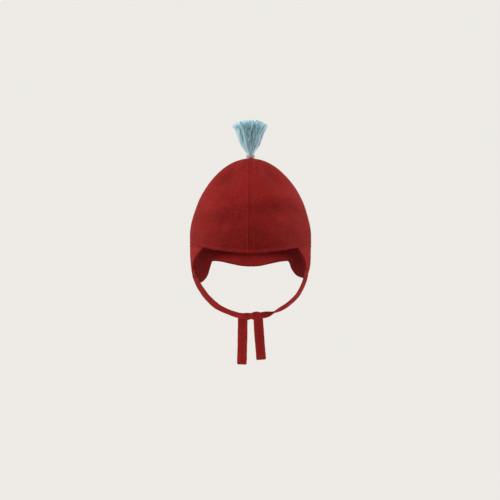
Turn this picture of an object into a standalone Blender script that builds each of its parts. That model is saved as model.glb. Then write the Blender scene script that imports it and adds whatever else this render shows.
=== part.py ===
"""A baby's knitted hat with ear flaps, chin ties and a thread tassel on top.

Metres, +Z up. The origin is the inside top of the crown, where the hat sits on the head.
The face looks along -Y, and left means the wearer's left, at +X.
Turns are degrees round the head: 0 is the middle of the brow, 90 the ear, 180 the nape.
Levels are lengths below the inside top of the crown.
"""

import math

import bmesh
import bpy
from mathutils import Vector

# Head form, measured inside the knit
HEAD_WIDTH = 0.1404
HEAD_FRONT = 0.0816
HEAD_BACK = 0.0856
CROWN_HEIGHT = 0.0888
TUCK_REACH = 0.0546

# Knit
WALL = 0.0024
SEAM_GAP = 0.0003
SEAM_RIDGE = 0.0010
RIDGE_HALF_WIDTH = 0.0030
RIM_LIP = 0.0004
DENT_DEPTH = 0.0016

# Edges, as levels below the top or lengths below the side seam
SEAM_LEVEL = 0.1008
BROW_DIP = 0.0097
FLAP_LENGTH_LEFT = 0.0424
FLAP_LENGTH_RIGHT = 0.0460
NAPE_LENGTH = 0.0268

# Ties
TIE_WIDTH = 0.0115
TIE_THICKNESS = 0.0026
TIE_GAP = 0.0007
KNOT_LEVEL = 0.1848
KNOT_FORWARD = 0.0400
TAIL_LENGTH_LEFT = 0.0540
TAIL_LENGTH_RIGHT = 0.0485

# Tassel
TASSEL_HEIGHT = 0.0458
TASSEL_SPREAD = 0.0205
TASSEL_LEAN = 0.0022
NECK_RADIUS = 0.0040
BINDING_CORD = 0.0013
BINDING_TURNS = 3

# Shape of the head form: how pointed each profile is, and how far each tucks in at the hem
PROFILE_POWER = {"side": 1.55, "front": 1.74, "back": 1.92}
TUCK_SHARE = {"side": 0.066, "front": 0.05, "back": 0.12}
TUCK_POWER = {"side": 4.0, "front": 4.0, "back": 2.0}

# The brow rises to the side seam at this turn, along this power of the turn
BROW_END_TURN = 54.0
BROW_POWER = 1.5

# Soft dents and swells of the crown: turn, level as a share of CROWN_HEIGHT, reach across in
# degrees, reach down as a share of CROWN_HEIGHT, push as a share of DENT_DEPTH
RELIEF = (
    {"name": "brow swell", "turn": 0, "level": 0.34, "across": 15, "down": 0.22, "push": 0.55},
    {"name": "upper right dent", "turn": -39, "level": 0.28, "across": 17, "down": 0.16, "push": -0.9},
    {"name": "upper left dent", "turn": 39, "level": 0.30, "across": 17, "down": 0.16, "push": -0.9},
    {"name": "left hollow", "turn": 25, "level": 0.67, "across": 17, "down": 0.11, "push": -1.0},
    {"name": "left fold", "turn": 40, "level": 0.55, "across": 22, "down": 0.08, "push": 0.6},
    {"name": "right fold", "turn": -32, "level": 0.72, "across": 22, "down": 0.07, "push": 0.5},
    {"name": "right hollow", "turn": -34, "level": 0.86, "across": 20, "down": 0.09, "push": -0.5},
    {"name": "left rear dent", "turn": 146, "level": 0.42, "across": 16, "down": 0.2, "push": -0.7},
    {"name": "right rear dent", "turn": -132, "level": 0.56, "across": 18, "down": 0.16, "push": -0.7},
    {"name": "left ear swell", "turn": 92, "level": 0.5, "across": 20, "down": 0.18, "push": 0.4},
    {"name": "right ear swell", "turn": -98, "level": 0.44, "across": 18, "down": 0.2, "push": 0.4},
)

# Outline of each flap. Drops are shares of that flap's length below the side seam.
# The first row of the front edge is the seam's end, and the last is the front of the tie.
FLAPS = {
    "left": {
        "front": (
            {"turn": 49.5, "drop": 0.0},
            {"turn": 53.0, "drop": 0.20},
            {"turn": 59.5, "drop": 0.38},
            {"turn": 62.8, "drop": 0.50},
            {"turn": 64.5, "drop": 0.65},
        ),
        "tie_slant": 24.0,
        "tie_face": 17.0,
        "hem": (
            {"turn": 84.0, "drop": 0.965},
            {"turn": 98.0, "drop": 1.0},
            {"turn": 111.0, "drop": 0.955},
            {"turn": 121.0, "drop": 0.90},
            {"turn": 128.4, "drop": 0.81},
            {"turn": 133.5, "drop": 0.69},
            {"turn": 136.8, "drop": 0.55},
        ),
    },
    "right": {
        "front": (
            {"turn": 49.5, "drop": 0.0},
            {"turn": 55.5, "drop": 0.19},
            {"turn": 62.0, "drop": 0.34},
            {"turn": 68.5, "drop": 0.47},
            {"turn": 73.0, "drop": 0.62},
        ),
        "tie_slant": 34.0,
        "tie_face": 14.0,
        "hem": (
            {"turn": 91.0, "drop": 0.95},
            {"turn": 104.0, "drop": 1.0},
            {"turn": 116.0, "drop": 0.97},
            {"turn": 124.5, "drop": 0.90},
            {"turn": 130.6, "drop": 0.81},
            {"turn": 134.0, "drop": 0.68},
            {"turn": 136.2, "drop": 0.54},
        ),
    },
}

# Lower edge of the nape strip. Drops are shares of NAPE_LENGTH below the side seam.
NAPE_HEM = (
    {"turn": 141.5, "drop": 0.735},
    {"turn": 151.0, "drop": 0.78},
    {"turn": 161.0, "drop": 0.88},
    {"turn": 171.0, "drop": 0.975},
    {"turn": 180.0, "drop": 1.0},
)

# Route of each tie from its flap to the knot. across, down and forward are shares of the way
# from the tie's start to the knot, face is how far the flat side turns from outward (0) to
# the front (90), in degrees, and width is a share of TIE_WIDTH.
STRAPS = {
    "left": (
        {"across": 0.010, "down": 0.20, "forward": 0.20, "face": 20, "width": 1.0},
        {"across": 0.070, "down": 0.40, "forward": 0.42, "face": 24, "width": 1.0},
        {"across": 0.165, "down": 0.58, "forward": 0.60, "face": 25, "width": 1.0},
        {"across": 0.325, "down": 0.755, "forward": 0.76, "face": 25, "width": 1.0},
        {"across": 0.470, "down": 0.86, "forward": 0.86, "face": 22, "width": 1.0},
        {"across": 0.615, "down": 0.94, "forward": 0.95, "face": 2, "width": 0.9},
        {"across": 0.705, "down": 0.972, "forward": 1.0, "face": -38, "width": 0.75},
    ),
    "right": (
        {"across": 0.040, "down": 0.17, "forward": 0.21, "face": 30, "width": 1.0},
        {"across": 0.087, "down": 0.30, "forward": 0.40, "face": 34, "width": 1.0},
        {"across": 0.150, "down": 0.425, "forward": 0.56, "face": 36, "width": 1.0},
        {"across": 0.238, "down": 0.575, "forward": 0.72, "face": 38, "width": 1.0},
        {"across": 0.367, "down": 0.735, "forward": 0.86, "face": 40, "width": 1.0},
        {"across": 0.485, "down": 0.835, "forward": 0.94, "face": 44, "width": 1.0},
        {"across": 0.640, "down": 0.912, "forward": 1.0, "face": 58, "width": 0.88},
    ),
}

# The half knot: the two ties turn about each other with three crossings. Each row is one
# stage of a tie in its order from the strap to the tail. across is a share of the knot's
# pitch to the wearer's left, up is in lifts, and out is in lays to the front.
KNOT = {
    "left": (
        {"across": 1.62, "up": 0.70, "out": -0.4, "face": -78, "width": 0.56},
        {"across": 1.06, "up": 0.20, "out": -1.2, "face": -90, "width": 0.36},
        {"across": 0.57, "up": -0.95, "out": 0.0, "face": -90, "width": 0.30},
        {"across": 0.10, "up": 0.0, "out": 1.15, "face": -90, "width": 0.52},
        {"across": -0.40, "up": 1.0, "out": 0.0, "face": -90, "width": 0.30},
        {"across": -0.78, "up": 0.45, "out": -1.2, "face": -90, "width": 0.36},
        {"across": -0.93, "up": -1.05, "out": -1.9, "face": -90, "width": 0.86},
    ),
    "right": (
        {"across": -1.55, "up": 0.80, "out": 0.7, "face": 84, "width": 0.66},
        {"across": -0.93, "up": 0.10, "out": 1.25, "face": 90, "width": 0.52},
        {"across": -0.40, "up": -1.0, "out": 0.0, "face": 90, "width": 0.30},
        {"across": 0.10, "up": 0.0, "out": -1.15, "face": 90, "width": 0.30},
        {"across": 0.55, "up": 1.0, "out": 0.0, "face": 90, "width": 0.32},
        {"across": 0.90, "up": 0.50, "out": 1.3, "face": 90, "width": 0.56},
        {"across": 0.94, "up": -1.05, "out": 2.1, "face": 90, "width": 0.88},
    ),
}

# Tails below the knot: down is a share of that tail's length, drift a share of TIE_WIDTH to
# the wearer's left of the tail's top
TAILS = {
    "left": (
        {"down": 0.10, "drift": 0.0, "out": -1.5, "width": 1.0},
        {"down": 0.45, "drift": -0.02, "out": -0.6, "width": 1.0},
        {"down": 0.80, "drift": -0.06, "out": 0.3, "width": 1.0},
        {"down": 1.0, "drift": -0.09, "out": 0.5, "width": 0.98},
    ),
    "right": (
        {"down": 0.10, "drift": 0.0, "out": 1.7, "width": 1.0},
        {"down": 0.45, "drift": 0.10, "out": 0.9, "width": 1.0},
        {"down": 0.80, "drift": 0.22, "out": 0.1, "width": 1.0},
        {"down": 1.0, "drift": 0.29, "out": 0.0, "width": 0.98},
    ),
}

# Tassel outline: height as a share of TASSEL_HEIGHT, and spread as a share of the way from
# NECK_RADIUS to TASSEL_SPREAD. Its top leans TASSEL_LEAN to the wearer's right.
TASSEL_OUTLINE = (
    {"height": 0.0, "spread": 0.0},
    {"height": 0.13, "spread": 0.0},
    {"height": 0.25, "spread": 0.17},
    {"height": 0.38, "spread": 0.40},
    {"height": 0.54, "spread": 0.54},
    {"height": 0.72, "spread": 0.68},
    {"height": 0.86, "spread": 0.85},
    {"height": 1.0, "spread": 1.0},
)

# Rings of thread locks, from the outside in: count, lean as a share of the outline, reach as
# a share of the height, and thickness as a share of TASSEL_SPREAD
LOCK_RINGS = (
    {"count": 12, "lean": 0.83, "reach": 0.93, "thick": 0.33},
    {"count": 8, "lean": 0.51, "reach": 0.985, "thick": 0.29},
    {"count": 3, "lean": 0.20, "reach": 1.0, "thick": 0.25},
)

# Shares of the tie's width: the straight start below the flap, the spacing of the knot's
# crossings and the width of the strands where they cross
TIE_LEAD = 0.45
KNOT_PITCH = 0.86
KNOT_NARROW = 0.36

# The tassel's core as a share of its outline and height, and how unevenly its locks lie
CORE_SHARE = 0.80
LOCK_SWAY = 0.05
LOCK_SWAY_STEP = 2.4
RING_SWAY_STEP = 1.3
RING_TURN = 0.37
LOCK_DRIFT = 0.2

# The middle seam's ridge rises over this share of CROWN_HEIGHT
RIDGE_RISE = 0.1

# Fineness of the meshes, and the turns of the columns of each half of the crown
TASSEL_SIDES = 20
CURVE_STEPS = 16
CROWN_ROWS = 14
CROWN_TURNS = (0, 1.4, 3.2, 8, 15, 23, 31, 39, 46.5, 54, 62, 70, 78, 86, 94, 102, 110, 118,
               126, 134, 142, 150, 158, 166, 172, 176.8, 178.6, 180)
FLAP_ROWS = 10
FLAP_TIP_COLUMNS = 2
FLAP_HEM_COLUMNS = 22
TIE_STATIONS = 58

# Across the tie: place as a share of its width, and share of its thickness there
TIE_SECTION = ((-0.5, 0.55), (-0.27, 0.95), (0.0, 0.9), (0.27, 0.95), (0.5, 0.55))

KNIT_RED = (0.30, 0.012, 0.010, 1.0)
THREAD_BLUE = (0.24, 0.37, 0.42, 1.0)
BINDING_GREY = (0.40, 0.38, 0.40, 1.0)

SIGN = {"left": 1.0, "right": -1.0}


def form_radii(level):
    """Half width, front depth and back depth of the head form at a level."""
    sizes = {"side": HEAD_WIDTH / 2, "front": HEAD_FRONT, "back": HEAD_BACK}
    radii = {}
    for part, size in sizes.items():
        if level < CROWN_HEIGHT:
            rest = 1.0 - level / CROWN_HEIGHT
            radii[part] = size * math.sqrt(max(0.0, 1.0 - rest ** PROFILE_POWER[part]))
        else:
            tuck = ((level - CROWN_HEIGHT) / TUCK_REACH) ** TUCK_POWER[part]
            radii[part] = size * (1.0 - TUCK_SHARE[part] * tuck)
    return radii


def form_point(turn, level):
    """Point of the plain head form at a turn in degrees and a level."""
    radii = form_radii(level)
    angle = math.radians(turn)
    depth = radii["front"] if math.cos(angle) > 0 else radii["back"]
    return Vector((radii["side"] * math.sin(angle), -depth * math.cos(angle), -level))


def form_normal(turn, level):
    """Outward direction of the head form."""
    step_turn = 0.5
    step_level = 0.0005
    level = max(level, 2 * step_level)
    around = form_point(turn + step_turn, level) - form_point(turn - step_turn, level)
    down = form_point(turn, level + step_level) - form_point(turn, level - step_level)
    return down.cross(around).normalized()


def turn_between(turn, centre):
    """Signed degrees from centre to turn, the short way round."""
    return (turn - centre + 180.0) % 360.0 - 180.0


def relief(turn, level):
    """How far the soft dents and swells push the knit out."""
    push = 0.0
    for dent in RELIEF:
        across = turn_between(turn, dent["turn"]) / dent["across"]
        down = (level / CROWN_HEIGHT - dent["level"]) / dent["down"]
        push += dent["push"] * math.exp(-(across ** 2) - down ** 2)
    return DENT_DEPTH * push


def knit_point(turn, level):
    """Point on the inside face of the knit."""
    return form_point(turn, level) + relief(turn, level) * form_normal(turn, level)


def edge_level(turn):
    """Level of the crown's lower edge: the brow in front, then the side seam."""
    rise = min(1.0, abs(turn) / BROW_END_TURN) ** BROW_POWER
    return SEAM_LEVEL + BROW_DIP * (1.0 - rise)


def ridge_share(turn, level):
    """1 on the middle seam, falling to 0 a ridge's half width away, and 0 at the very top."""
    away = abs(form_point(turn, level).x) / RIDGE_HALF_WIDTH
    fade = min(1.0, level / (RIDGE_RISE * CROWN_HEIGHT))
    return fade * math.exp(-(away ** 2))


def fine_curve(points):
    """Points close together on a smooth curve through the given vectors."""
    ends = [2 * points[0] - points[1], *points, 2 * points[-1] - points[-2]]
    fine = []
    for index in range(len(points) - 1):
        before, start, end, after = ends[index:index + 4]
        for step in range(CURVE_STEPS):
            t = step / CURVE_STEPS
            fine.append(0.5 * (
                2 * start
                + (end - before) * t
                + (2 * before - 5 * start + 4 * end - after) * t ** 2
                + (3 * start - before - 3 * end + after) * t ** 3
            ))
    fine.append(points[-1].copy())
    return fine


def even_shares(fine, count):
    """(index, share) of count + 1 places at even distances along close points."""
    reach = [0.0]
    for here, there in zip(fine, fine[1:]):
        reach.append(reach[-1] + (there - here).length)
    index = 0
    for step in range(count + 1):
        wanted = reach[-1] * step / count
        while index < len(fine) - 2 and reach[index + 1] < wanted:
            index += 1
        yield index, min(1.0, (wanted - reach[index]) / (reach[index + 1] - reach[index]))


def smooth_path(points, count):
    """count + 1 points, evenly spaced, on a smooth curve through the given points."""
    fine = fine_curve(points)
    return [fine[index].lerp(fine[index + 1], share) for index, share in even_shares(fine, count)]


def make_material(name, colour, roughness):
    """Plain soft material with the piece's colour."""
    material = bpy.data.materials.new(name)
    material.use_nodes = True
    shader = material.node_tree.nodes["Principled BSDF"]
    shader.inputs["Base Color"].default_value = colour
    shader.inputs["Roughness"].default_value = roughness
    shader.inputs["Metallic"].default_value = 0.0
    material.diffuse_color = colour
    return material


def make_object(name, mesh, collection, material):
    """Smoothly shaded object in a collection."""
    mesh.shade_smooth()
    mesh.materials.append(material)
    made = bpy.data.objects.new(name, mesh)
    collection.objects.link(made)
    return made


def grid_mesh(name, rows, flip):
    """Mesh of the surface through rows of points. A row of one point is a pole."""
    mesh = bpy.data.meshes.new(name)
    build = bmesh.new()
    grid = [[build.verts.new(point) for point in row] for row in rows]
    for upper, lower in zip(grid, grid[1:]):
        for column in range(len(lower) - 1):
            near = upper[min(column, len(upper) - 1)]
            far = upper[min(column + 1, len(upper) - 1)]
            corners = [near, lower[column], lower[column + 1], far]
            if near is far:
                corners.pop()
            build.faces.new(corners[::-1] if flip else corners)
    build.to_mesh(mesh)
    build.free()
    return mesh


def add_wall(shell, thicknesses, offset):
    """Give an open surface its thickness, which varies from point to point."""
    most = max(thicknesses)
    group = shell.vertex_groups.new(name="thickness")
    for index, thickness in enumerate(thicknesses):
        group.add([index], thickness / most, "REPLACE")
    wall = shell.modifiers.new("wall", "SOLIDIFY")
    wall.thickness = most
    wall.offset = offset
    wall.vertex_group = group.name
    wall.use_even_offset = True


def wall_thickness(turn, level, from_edge):
    """Thickness of the knit, with the middle ridge and the lip along an edge."""
    lip = RIM_LIP if from_edge < RIDGE_HALF_WIDTH else 0.0
    return WALL + max(lip, SEAM_RIDGE * ridge_share(turn, level))


def make_crown(side, collection, material):
    """One half of the crown, from the middle seam round the ear to the back."""
    shift = Vector((SIGN[side] * SEAM_GAP / 2, 0.0, 0.0))
    shares = [1.0 - math.cos(math.radians(90.0 * row / CROWN_ROWS)) for row in range(CROWN_ROWS + 1)]
    rows = [[knit_point(0.0, 0.0) + shift]]
    thicknesses = [WALL]
    for share in (*shares[1:-1], 1.0 - 0.5 * RIDGE_HALF_WIDTH / SEAM_LEVEL, 1.0):
        row = []
        for turn in CROWN_TURNS:
            level = edge_level(turn) * share
            row.append(knit_point(SIGN[side] * turn, level) + shift)
            thicknesses.append(wall_thickness(turn, level, edge_level(turn) - level))
        rows.append(row)
    mesh = grid_mesh(f"crown_{side}", rows, side == "right")
    half = make_object(f"crown_{side}", mesh, collection, material)
    add_wall(half, thicknesses, 1.0)
    return half


def flap_length(side):
    return FLAP_LENGTH_LEFT if side == "left" else FLAP_LENGTH_RIGHT


def tip_corners(side):
    """Turn and level of the front and back ends of the edge that carries the tie."""
    last = FLAPS[side]["front"][-1]
    front = Vector((last["turn"], SEAM_LEVEL + last["drop"] * flap_length(side)))
    one_degree = form_point(front.x + 0.5, front.y) - form_point(front.x - 0.5, front.y)
    slant = math.radians(FLAPS[side]["tie_slant"])
    back = front + Vector((
        TIE_WIDTH * math.cos(slant) / one_degree.length,
        TIE_WIDTH * math.sin(slant),
    ))
    return front, back


def flap_outline(side):
    """Front edge and hem of a flap, as turns and levels with turns scaled to lengths."""
    scale = math.pi * HEAD_WIDTH / 360.0
    tip_back = tip_corners(side)[1]
    first = FLAPS[side]["front"][0]["turn"]
    front = [Vector((first, edge_level(first) + SEAM_GAP))]
    for row in FLAPS[side]["front"][1:]:
        front.append(Vector((row["turn"], SEAM_LEVEL + row["drop"] * flap_length(side))))
    hem = [tip_back]
    for row in FLAPS[side]["hem"]:
        hem.append(Vector((row["turn"], SEAM_LEVEL + row["drop"] * flap_length(side))))
    for row in NAPE_HEM:
        hem.append(Vector((row["turn"], SEAM_LEVEL + row["drop"] * NAPE_LENGTH)))
    to_length = [[Vector((p.x * scale, p.y)) for p in line] for line in (front, hem)]
    front = smooth_path(to_length[0], FLAP_ROWS)
    hem = smooth_path(to_length[1], FLAP_HEM_COLUMNS)
    tip = [front[-1].lerp(hem[0], step / FLAP_TIP_COLUMNS) for step in range(FLAP_TIP_COLUMNS)]
    return front, [*tip, *hem], scale


def make_flap(side, collection, material):
    """An ear flap with its half of the nape strip, as a patch between its four edges."""
    front, bottom, scale = flap_outline(side)
    columns = len(bottom) - 1
    first = FLAPS[side]["front"][0]["turn"]
    shift = Vector((SIGN[side] * SEAM_GAP / 2, 0.0, 0.0))
    top = []
    for column in range(columns + 1):
        turn = first + (180.0 - first) * column / columns
        top.append(Vector((turn * scale, edge_level(turn) + SEAM_GAP)))
    rows = []
    thicknesses = []
    for row_index, front_point in enumerate(front):
        u = row_index / FLAP_ROWS
        back_point = top[-1].lerp(bottom[-1], u)
        row = []
        for column in range(columns + 1):
            v = column / columns
            along = top[column].lerp(bottom[column], u)
            across = front_point.lerp(back_point, v)
            corners = top[0].lerp(bottom[0], u).lerp(top[-1].lerp(bottom[-1], u), v)
            place = along + across - corners
            turn = place.x / scale
            row.append(knit_point(SIGN[side] * turn, place.y) + shift)
            near_edge = row_index == FLAP_ROWS or column == 0
            thicknesses.append(wall_thickness(turn, place.y, 0.0 if near_edge else 1.0))
        rows.append(row)
    mesh = grid_mesh(f"ear_flap_{side}", rows, side == "right")
    flap = make_object(f"ear_flap_{side}", mesh, collection, material)
    add_wall(flap, thicknesses, 1.0)
    return flap


def tie_start(side):
    """Start of a tie below its flap, and the way it heads."""
    ends = []
    normals = []
    for corner in tip_corners(side):
        turn = SIGN[side] * corner.x
        normals.append(form_normal(turn, corner.y))
        ends.append(knit_point(turn, corner.y) + WALL / 2 * normals[-1])
    across = ends[1] - ends[0]
    heading = SIGN[side] * across.cross(normals[0] + normals[1]).normalized()
    return (ends[0] + ends[1]) / 2 + SEAM_GAP * heading, heading


def tie_stations(side):
    """Centre, and (facing, width), for each stage of a tie from its flap to its end."""
    start, heading = tie_start(side)
    knot = Vector((0.0, -KNOT_FORWARD, -KNOT_LEVEL))
    start_face = FLAPS[side]["tie_face"]
    places = [start, start + TIE_LEAD * TIE_WIDTH * heading]
    shapes = [Vector((start_face, 1.0)), Vector((start_face, 1.0))]
    for row in STRAPS[side]:
        places.append(Vector((
            start.x + row["across"] * (knot.x - start.x),
            start.y + row["forward"] * (knot.y - start.y),
            start.z + row["down"] * (knot.z - start.z),
        )))
        shapes.append(Vector((row["face"], row["width"])))
    pitch = KNOT_PITCH * TIE_WIDTH
    lift = (KNOT_NARROW * TIE_WIDTH + 2 * TIE_GAP) / 2
    lay = (TIE_THICKNESS + 2 * TIE_GAP) / 2
    for row in KNOT[side]:
        places.append(knot + Vector((row["across"] * pitch, -row["out"] * lay, row["up"] * lift)))
        shapes.append(Vector((row["face"], row["width"])))
    tail_top = places[-1]
    length = TAIL_LENGTH_LEFT if side == "left" else TAIL_LENGTH_RIGHT
    for row in TAILS[side]:
        places.append(Vector((
            tail_top.x + row["drift"] * TIE_WIDTH,
            knot.y - row["out"] * lay,
            tail_top.z - row["down"] * length,
        )))
        shapes.append(Vector((shapes[-1].x, row["width"])))
    return places, shapes


def make_tie(side, collection, material):
    """A flat knitted tie: strap, its part of the half knot, and tail."""
    front = Vector((0.0, -1.0, 0.0))
    places, shapes = tie_stations(side)
    fine_places = fine_curve(places)
    fine_shapes = fine_curve(shapes)
    centres = []
    sections = []
    for index, share in even_shares(fine_places, TIE_STATIONS):
        centres.append(fine_places[index].lerp(fine_places[index + 1], share))
        sections.append(fine_shapes[index].lerp(fine_shapes[index + 1], share))
    rows = []
    thicknesses = []
    for index, (centre, section) in enumerate(zip(centres, sections)):
        before = centres[max(0, index - 1)]
        after = centres[min(TIE_STATIONS, index + 1)]
        heading = (after - before).normalized()
        if index == 0:
            heading = tie_start(side)[1]
        outward = -SIGN[side] * heading.cross(front).normalized()
        to_front = (front - front.dot(heading) * heading).normalized()
        angle = math.radians(section.x)
        normal = math.cos(angle) * outward + math.sin(angle) * to_front
        across = heading.cross(normal).normalized()
        rows.append([centre + share * section.y * TIE_WIDTH * across for share, _ in TIE_SECTION])
        thicknesses.extend(TIE_THICKNESS * share for _, share in TIE_SECTION)
    mesh = grid_mesh(f"tie_{side}", rows, False)
    tie = make_object(f"tie_{side}", mesh, collection, material)
    add_wall(tie, thicknesses, 0.0)
    return tie


def turned(name, profile, steps, collection, material):
    """Solid or ring turned about Z from a profile of (radius, height) points."""
    mesh = bpy.data.meshes.new(name)
    points = [(radius, 0.0, height) for radius, height in profile]
    closed = profile[0][0] > 0
    edges = [(index, index + 1) for index in range(len(points) - 1)]
    if closed:
        edges.append((len(points) - 1, 0))
    mesh.from_pydata(points, edges, [])
    made = make_object(name, mesh, collection, material)
    screw = made.modifiers.new("turn", "SCREW")
    screw.steps = steps
    screw.render_steps = steps
    screw.use_merge_vertices = True
    screw.merge_threshold = 0.00001
    screw.use_smooth_shade = True
    return made


def outline_radius(share):
    """Radius of the tassel at a share of its height."""
    for lower, upper in zip(TASSEL_OUTLINE, TASSEL_OUTLINE[1:]):
        if share <= upper["height"]:
            break
    along = (share - lower["height"]) / (upper["height"] - lower["height"])
    spread = lower["spread"] + along * (upper["spread"] - lower["spread"])
    return NECK_RADIUS + spread * (TASSEL_SPREAD - NECK_RADIUS)


def make_lock(name, angle, ring, sway, collection):
    """A lock of threads: a tube that leans out from the neck and widens to its cut end."""
    direction = Vector((math.sin(angle), -math.cos(angle), 0.0))
    curve = bpy.data.curves.new(name, "CURVE")
    curve.dimensions = "3D"
    curve.bevel_depth = 0.001
    curve.bevel_resolution = 1
    curve.use_fill_caps = True
    spline = curve.splines.new("POLY")
    rows = [row["height"] for row in TASSEL_OUTLINE[1:]]
    spline.points.add(len(rows) - 1)
    for point, share in zip(spline.points, rows):
        out = ring["lean"] * (1 + LOCK_SWAY * sway * share) * outline_radius(share)
        height = ring["reach"] * (1 - LOCK_SWAY * sway ** 2) * share * TASSEL_HEIGHT
        lean = TASSEL_LEAN * (height / TASSEL_HEIGHT) ** 2
        point.co = (direction.x * out - lean, direction.y * out, height, 1.0)
        point.radius = ring["thick"] * outline_radius(share) / 2 / curve.bevel_depth
    tube = bpy.data.objects.new(name, curve)
    collection.objects.link(tube)
    graph = bpy.context.evaluated_depsgraph_get()
    mesh = bpy.data.meshes.new_from_object(tube.evaluated_get(graph))
    weld = bmesh.new()
    weld.from_mesh(mesh)
    bmesh.ops.remove_doubles(weld, verts=weld.verts, dist=0.00001)
    weld.to_mesh(mesh)
    weld.free()
    bpy.data.objects.remove(tube, do_unlink=True)
    bpy.data.curves.remove(curve)
    lock = bpy.data.objects.new(name, mesh)
    collection.objects.link(lock)
    lock.hide_render = True
    lock.display_type = "WIRE"
    return lock


def make_tassel(collection, cutters, material):
    """Locks of thread fused to a core, standing on a short neck."""
    profile = [(0.0, CORE_SHARE * TASSEL_HEIGHT)]
    for row in reversed(TASSEL_OUTLINE[:-2]):
        radius = outline_radius(row["height"])
        shrink = NECK_RADIUS if row["spread"] == 0 else CORE_SHARE * radius
        profile.append((max(shrink, NECK_RADIUS), row["height"] * TASSEL_HEIGHT))
    profile.append((0.0, 0.0))
    tassel = turned("tassel", profile, TASSEL_SIDES, collection, material)
    for ring_index, ring in enumerate(LOCK_RINGS):
        for lock_index in range(ring["count"]):
            sway = math.sin(LOCK_SWAY_STEP * lock_index + RING_SWAY_STEP * ring_index)
            place = lock_index + RING_TURN * ring_index + LOCK_DRIFT * sway
            angle = 2 * math.pi * place / ring["count"]
            lock = make_lock(f"lock_{ring_index}_{lock_index}", angle, ring, sway, cutters)
            lock.parent = tassel
            join = tassel.modifiers.new(lock.name, "BOOLEAN")
            join.operation = "UNION"
            join.solver = "EXACT"
            join.object = lock
    tassel.location.z = WALL + SEAM_GAP
    return tassel


def make_binding(collection, material):
    """Turns of cord wound round the neck of the tassel."""
    inner = NECK_RADIUS + SEAM_GAP
    half = BINDING_CORD / 2
    profile = []
    for turn in reversed(range(BINDING_TURNS)):
        middle = half * (2 * turn + 1)
        for angle in (60, 0, -60):
            bulge = half * math.cos(math.radians(angle))
            profile.append((inner + half + bulge, middle + half * math.sin(math.radians(angle))))
    profile.append((inner, 0.0))
    profile.append((inner, 2 * half * BINDING_TURNS))
    binding = turned("tassel_binding", profile, TASSEL_SIDES, collection, material)
    binding.location.z = WALL + SEAM_GAP
    return binding


def main():
    for old in list(bpy.data.objects):
        bpy.data.objects.remove(old, do_unlink=True)
    hat = bpy.data.collections.new("tassel_hat")
    cutters = bpy.data.collections.new("tassel_locks")
    bpy.context.scene.collection.children.link(hat)
    bpy.context.scene.collection.children.link(cutters)
    knit = make_material("knit_red", KNIT_RED, 0.92)
    thread = make_material("thread_blue", THREAD_BLUE, 0.85)
    wound = make_material("binding_grey", BINDING_GREY, 0.85)
    for side in SIGN:
        make_crown(side, hat, knit)
        make_flap(side, hat, knit)
        make_tie(side, hat, knit)
    make_tassel(hat, cutters, thread)
    make_binding(hat, wound)


main()
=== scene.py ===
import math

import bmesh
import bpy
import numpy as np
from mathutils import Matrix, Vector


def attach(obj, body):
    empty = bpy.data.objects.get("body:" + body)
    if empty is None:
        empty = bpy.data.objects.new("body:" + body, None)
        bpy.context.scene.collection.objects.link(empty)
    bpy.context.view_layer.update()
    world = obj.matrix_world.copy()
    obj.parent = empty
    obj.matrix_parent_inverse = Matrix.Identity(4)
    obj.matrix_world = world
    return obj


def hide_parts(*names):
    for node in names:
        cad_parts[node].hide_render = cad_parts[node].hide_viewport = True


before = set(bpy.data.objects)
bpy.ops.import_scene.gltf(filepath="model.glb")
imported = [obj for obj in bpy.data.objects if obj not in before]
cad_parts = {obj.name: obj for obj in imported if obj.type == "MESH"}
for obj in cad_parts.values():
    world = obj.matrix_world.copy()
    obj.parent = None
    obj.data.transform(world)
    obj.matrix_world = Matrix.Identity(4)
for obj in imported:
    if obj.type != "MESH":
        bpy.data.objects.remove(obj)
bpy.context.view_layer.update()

# Looks of a baby's knitted hat: crown halves, ear flaps, chin ties, bound thread tassel.
# Metres, +Z up. The origin is the inside top of the crown, the face looks along -Y, and left
# means the wearer's left, at +X. Turns are degrees round the head: 0 is the middle of the
# brow, 90 the ear, 180 the nape. Levels are lengths below the inside top of the crown.


def table(columns, *rows):
    """The rows as dictionaries with those columns."""
    return [dict(zip(columns, row)) for row in rows]


# Head form, measured inside the knit
HEAD_WIDTH = 0.1404
HEAD_FRONT = 0.0816
HEAD_BACK = 0.0856
CROWN_HEIGHT = 0.0888
TUCK_REACH = 0.0546
PROFILE_POWER = {"side": 1.55, "front": 1.74, "back": 1.92}
TUCK_SHARE = {"side": 0.066, "front": 0.05, "back": 0.12}
TUCK_POWER = {"side": 4.0, "front": 4.0, "back": 2.0}

# Knit
WALL = 0.0024
SEAM_GAP = 0.0003
RIM_LIP = 0.0007
RIM_LIP_REACH = 0.0015
RIM_GROOVE_SHARE = 0.35
RIM_GROOVE_PLACE = 0.0039
RIM_GROOVE_REACH = 0.0012
DENT_DEPTH = 0.0029
WALE = 0.0021
COURSE = 0.0016

# Shares of painted light, a paler colour that stands in for light falling there: inside the flaps,
# on their outside, on the ties, and more where the knot presses them. Inside the nape it rises to
# 1, past the first turn and level named here and over the length of each fade, which leaves a
# darker band of painted shade under the brow.
INSIDE_PAINTED_LIGHT = 0.06
FLAP_PAINTED_LIGHT = 0.08
FLAP_PAINTED_LIGHT_FADE = 0.004
TIE_PAINTED_LIGHT = 0.38
TIE_PAINTED_LIGHT_FADE = 0.050
KNOT_PAINTED_LIGHT = 0.55
NAPE_PAINTED_LIGHT_TURN = 128.0
NAPE_PAINTED_LIGHT_TURN_FADE = 34.0
NAPE_PAINTED_LIGHT_LEVEL = 0.1115
NAPE_PAINTED_LIGHT_LEVEL_FADE = 0.007

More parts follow.
